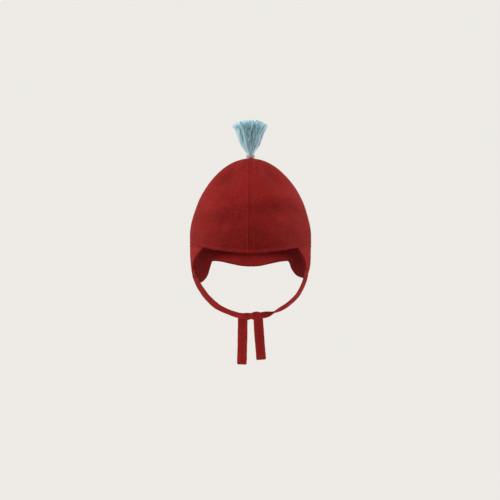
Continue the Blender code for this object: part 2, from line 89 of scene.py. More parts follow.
# Middle seam: a broad welt with a fine rib on each side of the joint, and one rib inside.
# SEAM_FADE is the share of CROWN_HEIGHT over which it rises from the top.
WELT_HEIGHT = 0.0007
WELT_REACH = 0.0036
RIB_HEIGHT = 0.0010
RIB_PLACE = 0.0030
RIB_REACH = 0.0007
JOINT_DEPTH = 0.0002
JOINT_REACH = 0.0006
INNER_RIB_HEIGHT = 0.0015
INNER_RIB_REACH = 0.0014
SEAM_FADE = 0.05

# Side seam between crown and flaps: a groove, a low roll beside it and soft puckers
PUCKER_HEIGHT = 0.00016
PUCKER_PLACE = 0.0014
PUCKER_REACH = 0.00175
PUCKER_PITCH = 0.0047
PUCKER_UNEVEN = 0.4
PUCKER_SLOW_WAVES = 9.0
SIDE_GROOVE = 0.00030
SIDE_GROOVE_REACH = 0.0007
SIDE_ROLL_PLACE = 0.0017
SIDE_ROLL_REACH = 0.0010

# Edges, as levels below the top or lengths below the side seam
SEAM_LEVEL = 0.1008
BROW_DIP = 0.0108
BROW_END_TURN = 66.0
BROW_POWER = 1.42
BROW_END_BLEND = 2.5
FLAP_LENGTH = {"left": 0.0424, "right": 0.0460}
NAPE_LENGTH = 0.0268

# Ties
TIE_WIDTH = 0.0115
TIE_THICKNESS = 0.0026
TIE_SQUARENESS = 2.3
TIE_GROOVE = 0.30
TIE_GROOVE_REACH = 0.18
TIE_END_WIDTH = 0.86
TIE_GAP = 0.0007
KNOT_LEVEL = 0.1848
KNOT_FORWARD = 0.0400
TAIL_LENGTH = {"left": 0.0540, "right": 0.0485}
TIE_LEAD = 0.45
KNOT_PITCH = 0.86
KNOT_NARROW = 0.36
KNOT_FULLNESS = 0.85
TIE_TUCK = 0.0022
TIE_SET_OUT = {"left": 0.0012, "right": 0.0003}

# Uneven width of the ties, as waves along them
TIE_WOBBLES = table(
    ("share", "reach", "phase"),
    (0.012, 0.0041, 0.0),
    (0.009, 0.0017, 1.0),
)

# Tassel
TASSEL_HEIGHT = 0.0458
TASSEL_SPREAD = 0.0199
TASSEL_LEAN = -0.0002
NECK_RADIUS = 0.0040

# Soft dents and swells of the crown: turn, level as a share of CROWN_HEIGHT, reach across in
# degrees, reach down as a share of CROWN_HEIGHT, push as a share of DENT_DEPTH
RELIEF = table(
    ("name", "turn", "level", "across", "down", "push"),
    ("upper swell", 0, 0.34, 13, 0.22, 0.60),
    ("brow swell", 0, 0.96, 12, 0.26, 0.50),
    ("upper right dent", -38, 0.27, 17, 0.13, -1.25),
    ("upper left dent", 38, 0.28, 16, 0.12, -1.10),
    ("left hollow", 22, 0.70, 19, 0.10, -0.95),
    ("left side hollow", 50, 0.74, 14, 0.12, -0.40),
    ("left fold", 36, 0.53, 24, 0.08, 0.55),
    ("right fold", -32, 0.66, 24, 0.07, 0.50),
    ("right hollow", -30, 0.84, 22, 0.09, -0.55),
    ("left ear tuck", 96, 1.60, 22, 0.10, -0.60),
    ("right ear tuck", -96, 1.60, 22, 0.06, -0.30),
    ("left rear dent", 146, 0.42, 16, 0.2, -0.7),
    ("right rear dent", -132, 0.56, 18, 0.16, -0.7),
    ("left ear swell", 92, 0.5, 20, 0.18, 0.22),
    ("right ear swell", -98, 0.44, 18, 0.2, 0.22),
)

# Small waves of the resting cloth: waves round the head, waves per CROWN_HEIGHT downwards,
# phase in degrees, height. They are lower at the ears, and rise from the top over WAVES_FADE,
# a share of CROWN_HEIGHT.
WAVES_AT_EARS = 0.3
WAVES_FADE = 0.35
WAVES = table(
    ("round", "down", "phase", "height"),
    (7, 0.9, 40, 0.00018),
    (-11, 1.4, 150, 0.00018),
    (5, -2.6, 265, 0.00026),
    (17, 2.2, 20, 0.00014),
    (-13, 4.1, 310, 0.00016),
)

# Outline of each flap. Drops are shares of that flap's length below the side seam.
FLAPS = {
    "left": {
        "front": table(
            ("turn", "drop"),
            (49.5, 0.0),
            (53.0, 0.20),
            (59.5, 0.38),
            (62.8, 0.50),
            (64.5, 0.65),
        ),
        "tie_slant": 24.0,
        "tie_face": 21.0,
        "hem": table(
            ("turn", "drop"),
            (84.0, 0.915),
            (98.0, 0.945),
            (111.0, 0.93),
            (121.0, 0.895),
            (128.0, 0.81),
            (133.0, 0.69),
            (135.8, 0.56),
            (138.4, 0.478),
        ),
    },
    "right": {
        "front": table(
            ("turn", "drop"),
            (49.5, 0.0),
            (55.5, 0.19),
            (62.0, 0.34),
            (68.5, 0.47),
            (73.0, 0.62),
        ),
        "tie_slant": 34.0,
        "tie_face": 14.0,
        "hem": table(
            ("turn", "drop"),
            (91.0, 0.95),
            (104.0, 1.0),
            (116.0, 0.97),
            (123.3, 0.90),
            (128.6, 0.81),
            (132.2, 0.68),
            (135.2, 0.54),
            (137.6, 0.445),
        ),
    },
}

# Lower edge of the nape strip. Drops are shares of NAPE_LENGTH below the side seam.
NAPE_HEM = table(
    ("turn", "drop"),
    (141.5, 0.735),
    (151.0, 0.78),
    (161.0, 0.88),
    (171.0, 0.975),
    (180.0, 1.0),
)

# Route of each tie from its flap to the knot. across, down and forward are shares of the way
# from the tie's start to the knot, face is how far the flat side turns from outward (0) to
# the front (90), in degrees, and width is a share of TIE_WIDTH.
STRAPS = {
    "left": table(
        ("across", "down", "forward", "face", "width"),
        (0.003, 0.20, 0.20, 25, 1.0),
        (0.070, 0.40, 0.42, 24, 1.0),
        (0.165, 0.58, 0.60, 25, 1.0),
        (0.325, 0.755, 0.76, 25, 1.0),
        (0.470, 0.86, 0.86, 22, 1.0),
        (0.565, 0.915, 0.93, 3, 1.0),
        (0.650, 0.950, 0.98, -26, 0.92),
        (0.725, 0.972, 1.0, -52, 0.78),
    ),
    "right": table(
        ("across", "down", "forward", "face", "width"),
        (0.040, 0.17, 0.21, 30, 1.0),
        (0.087, 0.30, 0.40, 34, 1.0),
        (0.150, 0.425, 0.56, 36, 1.0),
        (0.238, 0.575, 0.72, 38, 1.0),
        (0.367, 0.735, 0.86, 40, 1.0),
        (0.485, 0.835, 0.94, 37, 0.95),
        (0.640, 0.922, 1.0, 50, 0.68),
    ),
}

# The half knot. across is a share of the knot's pitch to the wearer's left, up is in lifts,
# and out is in lays to the front.
KNOT = {
    "left": table(
        ("across", "up", "out", "face", "width"),
        (1.40, 0.35, -0.4, -78, 0.64),
        (1.00, 0.10, -1.2, -90, 0.58),
        (0.57, -0.80, 0.1, -90, 0.46),
        (0.10, 0.0, 1.15, -90, 0.60),
        (-0.40, 0.40, 0.1, -90, 0.46),
        (-0.80, 0.0, -1.2, -90, 0.58),
        (-0.93, -1.05, -1.9, -90, 0.92),
    ),
    "right": table(
        ("across", "up", "out", "face", "width"),
        (-1.50, 0.35, 0.7, 82, 0.58),
        (-0.93, -0.05, 1.25, 90, 0.60),
        (-0.40, -0.85, 0.1, 90, 0.46),
        (0.10, 0.0, -1.15, 90, 0.56),
        (0.52, 0.75, 0.1, 90, 0.50),
        (0.90, 0.40, 1.3, 90, 0.70),
        (0.94, -1.05, 2.1, 90, 0.92),
    ),
}

# Tails below the knot: down is a share of that tail's length, drift a share of TIE_WIDTH to
# the wearer's left of the tail's top
TAILS = {
    "left": table(
        ("down", "drift", "out", "width"),
        (0.10, 0.0, -1.5, 1.0),
        (0.45, -0.02, -0.6, 1.0),
        (0.80, -0.06, 0.3, 1.0),
        (1.0, -0.09, 0.5, 0.98),
    ),
    "right": table(
        ("down", "drift", "out", "width"),
        (0.10, 0.0, 1.7, 1.0),
        (0.45, 0.10, 0.9, 1.0),
        (0.80, 0.22, 0.1, 1.0),
        (1.0, 0.29, 0.0, 0.98),
    ),
}

# Tassel outline: height as a share of TASSEL_HEIGHT, and spread as a share of the way from
# NECK_RADIUS to TASSEL_SPREAD
TASSEL_OUTLINE = table(
    ("height", "spread"),
    (0.0, 0.0),
    (0.13, 0.0),
    (0.25, 0.17),
    (0.38, 0.40),
    (0.54, 0.54),
    (0.72, 0.64),
    (0.86, 0.80),
    (1.0, 1.0),
)

# Fineness of the meshes, and how far their rows and columns crowd to the start and the end
CURVE_STEPS = 16
CROWN_ROWS = 88
CROWN_COLUMNS = 176
RIM_ROWS = 14
RIM_BAND = 0.0084
FLAP_ROWS = 54
FLAP_COLUMNS = 190
FLAP_TIP_COLUMNS = 2
FLAP_HEM_COLUMNS = 22
CROWN_CROWDING = (0.72, 0.72)
FLAP_ROW_CROWDING = (0.80, 0.85)
FLAP_COLUMN_CROWDING = (0.80, 0.80)
FIRST_ROW_SHARE = 1e-9
EDGE_STEPS = 6
WELD_REACH = 0.000002
SHARP_ANGLE = 50.0
TIE_STATIONS = 260
TIE_SIDE_POINTS = 15
TURN_STEP = 0.5
LEVEL_STEP = 0.0005
ROUND_STEPS = 20
DOWN_STEPS = 500
LOWEST_LEVEL = 0.17

# Rounded edges: how far a flap's grid stays back for them, the shares of its front edge and
# hem over which that starts, and the lengths below the side seam over which roll and lip start
ROLL_ALLOWANCE = 0.0010
ROLL_FRONT_START = 0.2
ROLL_HEM_START = 0.05
ROLL_SPARE = 0.00005
ROLL_START = 0.002
LIP_START = 0.003

SIGN = {"left": 1.0, "right": -1.0}


# Head form and knit surface, worked out for whole arrays of turns and levels

def unit(vectors):
    """The vectors at length 1."""
    return vectors / np.maximum(np.linalg.norm(vectors, axis=-1, keepdims=True), 1e-12)


def bell(distance, reach):
    """1 at no distance, falling smoothly to 0 past the reach."""
    return np.exp(-(distance / reach) ** 2)


def form_radii(level):
    """Half width, front depth and back depth of the head form at each level."""
    sizes = {"side": HEAD_WIDTH / 2, "front": HEAD_FRONT, "back": HEAD_BACK}
    rest = np.clip(1.0 - level / CROWN_HEIGHT, 0.0, 1.0)
    below = np.clip((level - CROWN_HEIGHT) / TUCK_REACH, 0.0, None)
    return {
        part: size * np.sqrt(1.0 - rest ** PROFILE_POWER[part])
        * (1.0 - TUCK_SHARE[part] * below ** TUCK_POWER[part])
        for part, size in sizes.items()
    }


def form_point(turn, level):
    """Points of the plain head form."""
    turn, level = np.broadcast_arrays(np.asarray(turn, float), np.asarray(level, float))
    radii = form_radii(level)
    angle = np.radians(turn)
    depth = np.where(np.cos(angle) > 0, radii["front"], radii["back"])
    return np.stack((radii["side"] * np.sin(angle), -depth * np.cos(angle), -level), axis=-1)


def form_normal(turn, level):
    """Outward directions of the head form."""
    level = np.maximum(level, 2 * LEVEL_STEP)
    around = form_point(turn + TURN_STEP, level) - form_point(turn - TURN_STEP, level)
    down = form_point(turn, level + LEVEL_STEP) - form_point(turn, level - LEVEL_STEP)
    return unit(np.cross(down, around))


def relief(turn, level):
    """How far the soft dents and swells push the knit out."""
    push = np.zeros(np.broadcast(turn, level).shape)
    for dent in RELIEF:
        across = (turn - dent["turn"] + 180.0) % 360.0 - 180.0
        push += dent["push"] * bell(across, dent["across"]) * bell(
            level / CROWN_HEIGHT - dent["level"], dent["down"])
    return DENT_DEPTH * push


def waves(turn, level):
    """Small uneven waves of the cloth, faded out at the top."""
    total = np.zeros(np.broadcast(turn, level).shape)
    for wave in WAVES:
        phase = wave["round"] * np.radians(turn) + math.radians(wave["phase"])
        total += wave["height"] * np.sin(phase + 2 * math.pi * wave["down"] * level / CROWN_HEIGHT)
    sides = WAVES_AT_EARS + (1.0 - WAVES_AT_EARS) * np.cos(np.radians(turn)) ** 2
    return total * sides * np.clip(level / (WAVES_FADE * CROWN_HEIGHT), 0.0, 1.0)


def edge_level(turn):
    """Level of the crown's lower edge: the brow in front, then the side seam."""
    rise = np.minimum(1.0, np.abs(turn) / BROW_END_TURN) ** BROW_POWER
    return SEAM_LEVEL + BROW_DIP * (1.0 - rise)


def round_length(turn, level):
    """Length round the head from the ear to a turn, at that level. Stitch columns follow it."""
    last = form_point(np.full_like(turn, 90.0), level)
    total = np.zeros_like(turn)
    for step in range(1, ROUND_STEPS + 1):
        here = form_point(90.0 + (turn - 90.0) * step / ROUND_STEPS, level)
        total += np.linalg.norm(here - last, axis=-1)
        last = here
    return np.sign(turn - 90.0) * total


def down_length(level):
    """Length down the side of the head from the top to a level. Stitch rows follow it."""
    levels = np.linspace(0.0, LOWEST_LEVEL, DOWN_STEPS)
    points = form_point(90.0, levels)
    steps = np.linalg.norm(np.diff(points, axis=0), axis=-1)
    return np.interp(level, levels, np.concatenate(([0.0], np.cumsum(steps))))


def middle_seam(x, level):
    """Height of the welt and ribs of the middle seam on the outside."""
    x = np.abs(x)
    profile = WELT_HEIGHT * bell(x, WELT_REACH) + RIB_HEIGHT * bell(x - RIB_PLACE, RIB_REACH)
    fade = np.clip(level / (SEAM_FADE * CROWN_HEIGHT), 0.0, 1.0)
    return fade * (profile - JOINT_DEPTH * bell(x, JOINT_REACH))


def rim_lip(from_edge):
    """Rounded lip along a free edge, with a shallow groove beside it."""
    groove = RIM_GROOVE_SHARE * bell(from_edge - RIM_GROOVE_PLACE, RIM_GROOVE_REACH)
    return RIM_LIP * (bell(from_edge, RIM_LIP_REACH) - groove)


def side_seam(turn, from_seam):
    """Height of the joint between crown and flap: a groove, a low roll and soft puckers."""
    pucker = np.sin(2 * math.pi * np.radians(turn) * HEAD_WIDTH / 2 / PUCKER_PITCH)
    slow = 1.0 - PUCKER_UNEVEN * (1.0 - np.sin(np.radians(turn) * PUCKER_SLOW_WAVES))
    puckers = PUCKER_HEIGHT * slow * pucker * bell(from_seam - PUCKER_PLACE, PUCKER_REACH)
    groove = SIDE_GROOVE * bell(from_seam, SIDE_GROOVE_REACH)
    roll = SIDE_GROOVE * bell(from_seam - SIDE_ROLL_PLACE, SIDE_ROLL_REACH)
    return puckers - groove + roll


# Meshes

def crowded(count, crowding):
    """count + 1 shares from 0 to 1, closer together near the start and the end."""
    even = np.linspace(0.0, 1.0, count + 1)
    pull = np.where(even < 0.5, crowding[0], crowding[1])
    return even - pull * np.sin(2 * math.pi * even) / (2 * math.pi)


def perimeter(rows, columns):
    """(row, column) of each place round the edge of a grid, in order."""
    loop = [(0, column) for column in range(columns - 1)]
    loop += [(row, columns - 1) for row in range(rows - 1)]
    loop += [(rows - 1, column) for column in range(columns - 1, 0, -1)]
    loop += [(row, 0) for row in range(rows - 1, 0, -1)]
    return np.array(loop)


def grid_faces(ids, closed=False):
    """Quads between neighbouring rows of vertex numbers."""
    if closed:
        ids = np.concatenate((ids, ids[:, :1]), axis=1)
    return np.stack((ids[:-1, :-1], ids[1:, :-1], ids[1:, 1:], ids[:-1, 1:]), axis=-1).reshape(-1, 4)


def clean_mesh(mesh, weld_reach):
    """Joins points within that reach, if it isn't 0, and makes the mesh smooth and face outward."""
    build = bmesh.new()
    build.from_mesh(mesh)
    if weld_reach:
        bmesh.ops.remove_doubles(build, verts=build.verts, dist=weld_reach)
    bmesh.ops.recalc_face_normals(build, faces=build.faces)
    build.to_mesh(mesh)
    build.free()
    mesh.shade_smooth()


def add_object(name, data):
    """Object of a mesh, light or camera, linked to the scene."""
    added = bpy.data.objects.new(name, data)
    bpy.context.scene.collection.objects.link(added)
    return added


def make_piece(name, points, faces, place, material, weld=True):
    """Smooth closed mesh object on the root body. place holds each point's stitch coordinates and
    its share of painted light, or thread tint with painted light and shade on the tassel, and on the
    knit shells its relief too, which the material turns into painted shade and light."""
    mesh = bpy.data.meshes.new(name)
    mesh.from_pydata(points.tolist(), [], faces)
    stitch = mesh.attributes.new("stitch", "FLOAT_VECTOR", "POINT")
    stitch.data.foreach_set("vector", place[:, :3].astype(np.float32).ravel())
    if place.shape[1] > 3:
        fold = mesh.attributes.new("fold", "FLOAT", "POINT")
        fold.data.foreach_set("value", place[:, 3].astype(np.float32))
    clean_mesh(mesh, WELD_REACH if weld else 0.0)
    if weld:
        mesh.set_sharp_from_angle(angle=math.radians(SHARP_ANGLE))
    mesh.materials.append(material)
    piece = add_object(name, mesh)
    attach(piece, "root")
    return piece


def make_shell(name, inner, outer, roll, place, painted_light_inside, material):
    """Closed shell between two grids of points, its edge rounded by roll at each grid point.
    The share passed after place is that of painted light on the inner grid."""
    rows, columns = inner.shape[:2]
    middle = (inner + outer) / 2
    away_down = np.gradient(middle, axis=0)
    away_round = np.gradient(middle, axis=1)
    loop = perimeter(rows, columns)
    row, column = loop[:, 0], loop[:, 1]
    down = 1.0 * (row == rows - 1) - (row == 0)
    across = 1.0 * (column == columns - 1) - (column == 0)
    away = down[:, None] * unit(away_down[row, column])
    away = unit(away + across[:, None] * unit(away_round[row, column]))
    start, end = inner[row, column], outer[row, column]
    bulge = roll[row, column][:, None]
    arcs = []
    for step in range(1, EDGE_STEPS):
        angle = math.pi * step / EDGE_STEPS
        arcs.append(start + (end - start) * (1 - math.cos(angle)) / 2 + away * bulge * math.sin(angle))
    inner_ids = np.arange(rows * columns).reshape(rows, columns)
    outer_ids = inner_ids + rows * columns
    arc_ids = 2 * rows * columns + np.arange(len(arcs) * len(loop)).reshape(len(arcs), len(loop))
    strip = np.concatenate((inner_ids[row, column][None], arc_ids, outer_ids[row, column][None]))
    points = np.concatenate((inner.reshape(-1, 3), outer.reshape(-1, 3), *arcs))
    inside = place.copy()
    inside[..., 2] = painted_light_inside
    edge = place[row, column]
    places = np.concatenate((inside.reshape(-1, 4), place.reshape(-1, 4), *([edge] * len(arcs))))
    faces = np.concatenate((grid_faces(inner_ids), grid_faces(outer_ids), grid_faces(strip, True)))
    return make_piece(name, points, faces.tolist(), places, material)


def knit_shell(name, side, turn, level, rolls, heights, pale, material):
    """Shell of knit through a grid of turns and levels. heights is what its outside adds, and
    pale the share of painted light, a paler colour standing in for light, on its outside and edges."""
    signed = SIGN[side] * turn
    normal = form_normal(signed, level)
    push = relief(signed, level)
    inner = form_point(signed, level) + (push + waves(signed, level))[..., None] * normal
    x = np.abs(form_point(signed, level)[..., 0])
    thickness = WALL + middle_seam(x, level) + heights
    outer = inner + thickness[..., None] * normal
    inner = inner - (INNER_RIB_HEIGHT * bell(x, INNER_RIB_REACH))[..., None] * normal \
        * np.clip(level / CROWN_HEIGHT, 0.0, 1.0)[..., None]
    place = np.stack((
        1000.0 * round_length(turn, level),
        1000.0 * down_length(level),
        pale,
        # Relief share, which the material also turns into painted shade in dents and painted light on
        # swells
        push / DENT_DEPTH,
    ), axis=-1)
    # Painted light inside the nape, past a turn and below a level; the darker band left under the brow
    # is painted shade
    nape_painted_light = np.clip((turn - NAPE_PAINTED_LIGHT_TURN) / NAPE_PAINTED_LIGHT_TURN_FADE, 0.0, 1.0)
    nape_painted_light = nape_painted_light * np.clip((level - NAPE_PAINTED_LIGHT_LEVEL) / NAPE_PAINTED_LIGHT_LEVEL_FADE, 0.0, 1.0)
    painted_light_inside = INSIDE_PAINTED_LIGHT + (1.0 - INSIDE_PAINTED_LIGHT) * nape_painted_light
    return make_shell(name, inner, outer, rolls, place, painted_light_inside, material)


def free_brow(turn):
    """1 where the crown's edge is free, at the brow, falling to 0 where the flap starts."""
    start = FLAPS["left"]["front"][0]["turn"]
    return np.clip((start - turn) / BROW_END_BLEND, 0.0, 1.0)


def make_crown(side, material):
    """One half of the crown, from the middle seam round the ear to the back."""
    turn = 180.0 * crowded(CROWN_COLUMNS, CROWN_CROWDING)
    roll = WALL / 2 * free_brow(turn)
    edge = edge_level(turn) - roll
    upper = 1.0 - np.cos(0.5 * math.pi * np.linspace(0.0, 1.0, CROWN_ROWS + 1))
    band = 1.0 - RIM_BAND / SEAM_LEVEL
    shares = np.concatenate((upper[upper < band], np.linspace(band, 1.0, RIM_ROWS)))
    shares[0] = FIRST_ROW_SHARE
    level = shares[:, None] * edge[None, :]
    turn = np.broadcast_to(turn, level.shape).copy()
    from_edge = edge[None, :] - level
    free = free_brow(turn)
    heights = free * rim_lip(from_edge) + (1.0 - free) * side_seam(turn, from_edge)
    rolls = np.zeros_like(level)
    rolls[-1] = roll + ROLL_SPARE
    pale = np.zeros_like(turn)
    piece = knit_shell(f"knit_crown_{side}", side, turn, level, rolls, heights, pale, material)
    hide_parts(f"crown_{side}")


def fine_curve(points):
    """Points close together on a smooth curve through the given vectors."""
    ends = [2 * points[0] - points[1], *points, 2 * points[-1] - points[-2]]
    fine = []
    for index in range(len(points) - 1):
        before, start, end, after = ends[index:index + 4]
        for step in range(CURVE_STEPS):
            t = step / CURVE_STEPS
            fine.append(0.5 * (
                2 * start
                + (end - before) * t
                + (2 * before - 5 * start + 4 * end - after) * t ** 2
                + (3 * start - before - 3 * end + after) * t ** 3
            ))
    fine.append(points[-1].copy())
    return fine


def even_shares(fine, count):
    """(index, share) of count + 1 places at even distances along close points."""
    reach = [0.0]
    for here, there in zip(fine, fine[1:]):
        reach.append(reach[-1] + (there - here).length)
    index = 0
    for step in range(count + 1):
        wanted = reach[-1] * step / count
        while index < len(fine) - 2 and reach[index + 1] < wanted:
            index += 1
        yield index, min(1.0, (wanted - reach[index]) / (reach[index + 1] - reach[index]))


def smooth_path(points, count):
    """count + 1 points, evenly spaced, on a smooth curve through the given points."""
    fine = fine_curve(points)
    return [fine[index].lerp(fine[index + 1], share) for index, share in even_shares(fine, count)]


def along(points, shares):
    """Points at the shares of the way along evenly spaced points."""
    points = np.array(points)
    places = np.linspace(0.0, 1.0, len(points))
    return np.stack([np.interp(shares, places, points[:, axis]) for axis in range(2)], axis=-1)


def edge_points(rows, length):
    """Turn and level of each row of an outline, whose drops are shares of that length."""
    return [Vector((row["turn"], SEAM_LEVEL + row["drop"] * length)) for row in rows]


def tip_corners(side):
    """Turn and level of the front and back ends of the edge that carries the tie."""
    front = edge_points(FLAPS[side]["front"], FLAP_LENGTH[side])[-1]
    one_degree = form_point(front.x + 0.5, front.y) - form_point(front.x - 0.5, front.y)
    slant = math.radians(FLAPS[side]["tie_slant"])
    back = front + Vector((
        TIE_WIDTH * math.cos(slant) / float(np.linalg.norm(one_degree)),
        TIE_WIDTH * math.sin(slant),
    ))
    return front, back


def flap_edges(side):
    """Front edge and lower edge of a flap, as turns scaled to lengths and levels."""
    scale = math.pi * HEAD_WIDTH / 360.0
    first = FLAPS[side]["front"][0]["turn"]
    front = edge_points(FLAPS[side]["front"], FLAP_LENGTH[side])
    front[0] = Vector((first, float(edge_level(first))))
    hem = [tip_corners(side)[1], *edge_points(FLAPS[side]["hem"], FLAP_LENGTH[side])]
    hem += edge_points(NAPE_HEM, NAPE_LENGTH)
    front, hem = [[Vector((p.x * scale, p.y)) for p in line] for line in (front, hem)]
    front = smooth_path(front, CURVE_STEPS * FLAP_ROWS)
    hem = smooth_path(hem, CURVE_STEPS * FLAP_HEM_COLUMNS)
    tip_steps = CURVE_STEPS * FLAP_TIP_COLUMNS
    tip = [front[-1].lerp(hem[0], step / tip_steps) for step in range(tip_steps)]
    return front, [*tip, *hem], scale


def make_flap(side, material):
    """An ear flap with its half of the nape strip, as a patch between its four edges."""
    front, bottom, scale = flap_edges(side)
    first = FLAPS[side]["front"][0]["turn"]
    u = crowded(FLAP_ROWS, FLAP_ROW_CROWDING)
    v = crowded(FLAP_COLUMNS, FLAP_COLUMN_CROWDING)
    turns = first + (180.0 - first) * v
    top = np.stack((turns * scale, edge_level(turns)), axis=-1)
    front = along(front, u)
    bottom = along(bottom, v)
    front[:, 0] += ROLL_ALLOWANCE * np.clip(u / ROLL_FRONT_START, 0.0, 1.0)
    bottom[:, 0] += ROLL_ALLOWANCE * np.clip(1.0 - v / ROLL_HEM_START, 0.0, 1.0)
    bottom[:, 1] -= ROLL_ALLOWANCE
    back = top[-1] + u[:, None] * (bottom[-1] - top[-1])
    u3, v3 = u[:, None, None], v[None, :, None]
    top_line = (1 - v3) * top[0] + v3 * top[-1]
    bottom_line = (1 - v3) * bottom[0] + v3 * bottom[-1]
    corners = (1 - u3) * top_line + u3 * bottom_line
    patch = (1 - u3) * top[None] + u3 * bottom[None]
    patch = patch + (1 - v3) * front[:, None] + v3 * back[:, None] - corners
    turn, level = patch[..., 0] / scale, patch[..., 1]
    steps_down = np.linalg.norm(np.diff(patch, axis=0, prepend=patch[:1]), axis=-1)
    reach_down = np.cumsum(steps_down, axis=0)
    from_hem = reach_down[-1:] - reach_down
    steps_round = np.linalg.norm(np.diff(patch, axis=1, prepend=patch[:, :1]), axis=-1)
    from_front = np.cumsum(steps_round, axis=1)
    heights = rim_lip(np.minimum(from_hem, from_front)) * np.clip(reach_down / LIP_START, 0.0, 1.0)
    heights += side_seam(turn, reach_down)
    rolls = np.zeros_like(level)
    rolls[-1] = WALL / 2
    rolls[:, 0] = WALL / 2 * np.clip(reach_down[:, 0] / ROLL_START, 0.0, 1.0)
    # Painted light on the flap's outside, fading in below the side seam
    pale = FLAP_PAINTED_LIGHT * np.clip(reach_down / FLAP_PAINTED_LIGHT_FADE, 0.0, 1.0)
    piece = knit_shell(f"knit_ear_flap_{side}", side, turn, level, rolls, heights, pale, material)
    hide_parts(f"ear_flap_{side}")


# Ties

def tie_start(side):
    """Start of a tie below its flap, and the way it heads."""
    ends = []
    normals = []
    for corner in tip_corners(side):
        turn = SIGN[side] * corner.x
        normal = form_normal(turn, corner.y)
        inside = form_point(turn, corner.y) + relief(turn, corner.y) * normal
        normals.append(Vector(normal))
        ends.append(Vector(inside + WALL / 2 * normal))
    across = ends[1] - ends[0]
    heading = SIGN[side] * across.cross(normals[0] + normals[1]).normalized()
    return (ends[0] + ends[1]) / 2 + SEAM_GAP * heading, heading


def tie_stages(side):
    """Centre, and (facing, width), for each stage of a tie from its flap to its end."""
    start, heading = tie_start(side)
    knot = Vector((0.0, -KNOT_FORWARD, -KNOT_LEVEL))
    start_face = FLAPS[side]["tie_face"]
    set_out = Vector((SIGN[side] * TIE_SET_OUT[side], 0.0, 0.0))
    places = [start + set_out - TIE_TUCK * heading, start + set_out + TIE_LEAD * TIE_WIDTH * heading]
    shapes = [Vector((start_face, 1.0)), Vector((start_face, 1.0))]
    for row in STRAPS[side]:
        places.append(Vector((
            start.x + row["across"] * (knot.x - start.x),
            start.y + row["forward"] * (knot.y - start.y),
            start.z + row["down"] * (knot.z - start.z),
        )))
        shapes.append(Vector((row["face"], row["width"])))
    pitch = KNOT_PITCH * TIE_WIDTH
    lift = (KNOT_NARROW * TIE_WIDTH + 2 * TIE_GAP) / 2
    lay = (TIE_THICKNESS + 2 * TIE_GAP) / 2
    for row in KNOT[side]:
        places.append(knot + Vector((row["across"] * pitch, -row["out"] * lay, row["up"] * lift)))
        shapes.append(Vector((row["face"], row["width"])))
    tail_top = places[-1]
    for row in TAILS[side]:
        places.append(Vector((
            tail_top.x + row["drift"] * TIE_WIDTH,
            knot.y - row["out"] * lay,
            tail_top.z - row["down"] * TAIL_LENGTH[side],
        )))
        shapes.append(Vector((shapes[-1].x, row["width"])))
    return places, shapes


def tie_section():
    """Closed outline of a tie: across as a share of its width, out as a share of its thickness."""
    across = np.sin(0.5 * math.pi * np.linspace(-1.0, 1.0, TIE_SIDE_POINTS))
    groove = 1.0 - TIE_GROOVE * bell(across, TIE_GROOVE_REACH)
    height = np.sqrt(1.0 - np.abs(across) ** TIE_SQUARENESS) * groove
    top = np.stack((across / 2, height / 2), axis=-1)
    below = top[-2:0:-1] * (1.0, -1.0)
    return np.concatenate((top, below))


def make_tie(side, material):
    """A flat knitted tie: strap, its part of the half knot, and tail."""
    front = Vector((0.0, -1.0, 0.0))
    places, shapes = tie_stages(side)
    fine_places = fine_curve(places)
    fine_shapes = fine_curve(shapes)
    centres = []
    sections = []
    for index, share in even_shares(fine_places, TIE_STATIONS):
        centres.append(fine_places[index].lerp(fine_places[index + 1], share))
        sections.append(fine_shapes[index].lerp(fine_shapes[index + 1], share))
    outline = tie_section()
    step_length = (centres[1] - centres[0]).length
    points = []
    place = []
    for index, (centre, shape) in enumerate(zip(centres, sections)):
        before = centres[max(0, index - 1)]
        after = centres[min(TIE_STATIONS, index + 1)]
        heading = (after - before).normalized()
        if index == 0:
            heading = tie_start(side)[1]
        outward = -SIGN[side] * heading.cross(front).normalized()
        to_front = (front - front.dot(heading) * heading).normalized()
        angle = math.radians(shape.x)
        normal = math.cos(angle) * outward + math.sin(angle) * to_front
        across = heading.cross(normal).normalized()
        from_end = min(index, TIE_STATIONS - index) * step_length
        closing = math.sqrt(max(0.0, 1.0 - max(0.0, 1.0 - from_end / (0.5 * TIE_THICKNESS)) ** 2))
        if index < TIE_STATIONS // 2:
            closing = 1.0
        along_tie = index * step_length
        wobble = 1.0
        for row in TIE_WOBBLES:
            wobble += row["share"] * math.sin(along_tie / row["reach"] + row["phase"])
        width = shape.y * TIE_WIDTH * wobble * (TIE_END_WIDTH + (1.0 - TIE_END_WIDTH) * closing)
        pressed = 1.0 - min(1.0, shape.y)
        full = TIE_THICKNESS * closing * (1.0 + KNOT_FULLNESS * pressed)
        # Painted light on the tie, fading in from the flap, with more in the knot to lift its shade
        pale = TIE_PAINTED_LIGHT * min(1.0, along_tie / TIE_PAINTED_LIGHT_FADE) + KNOT_PAINTED_LIGHT * pressed
        ring = np.outer(outline[:, 0] * width, across) + np.outer(outline[:, 1] * full, normal)
        points.append(np.array(centre) + ring)
        place.append(np.stack((
            outline[:, 0] * TIE_WIDTH * 1000,
            np.full(len(outline), along_tie * 1000),
            np.full(len(outline), pale),
        ), axis=-1))
    piece = make_strap(f"knit_tie_{side}", np.array(points), np.array(place), material)
    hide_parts(f"tie_{side}")


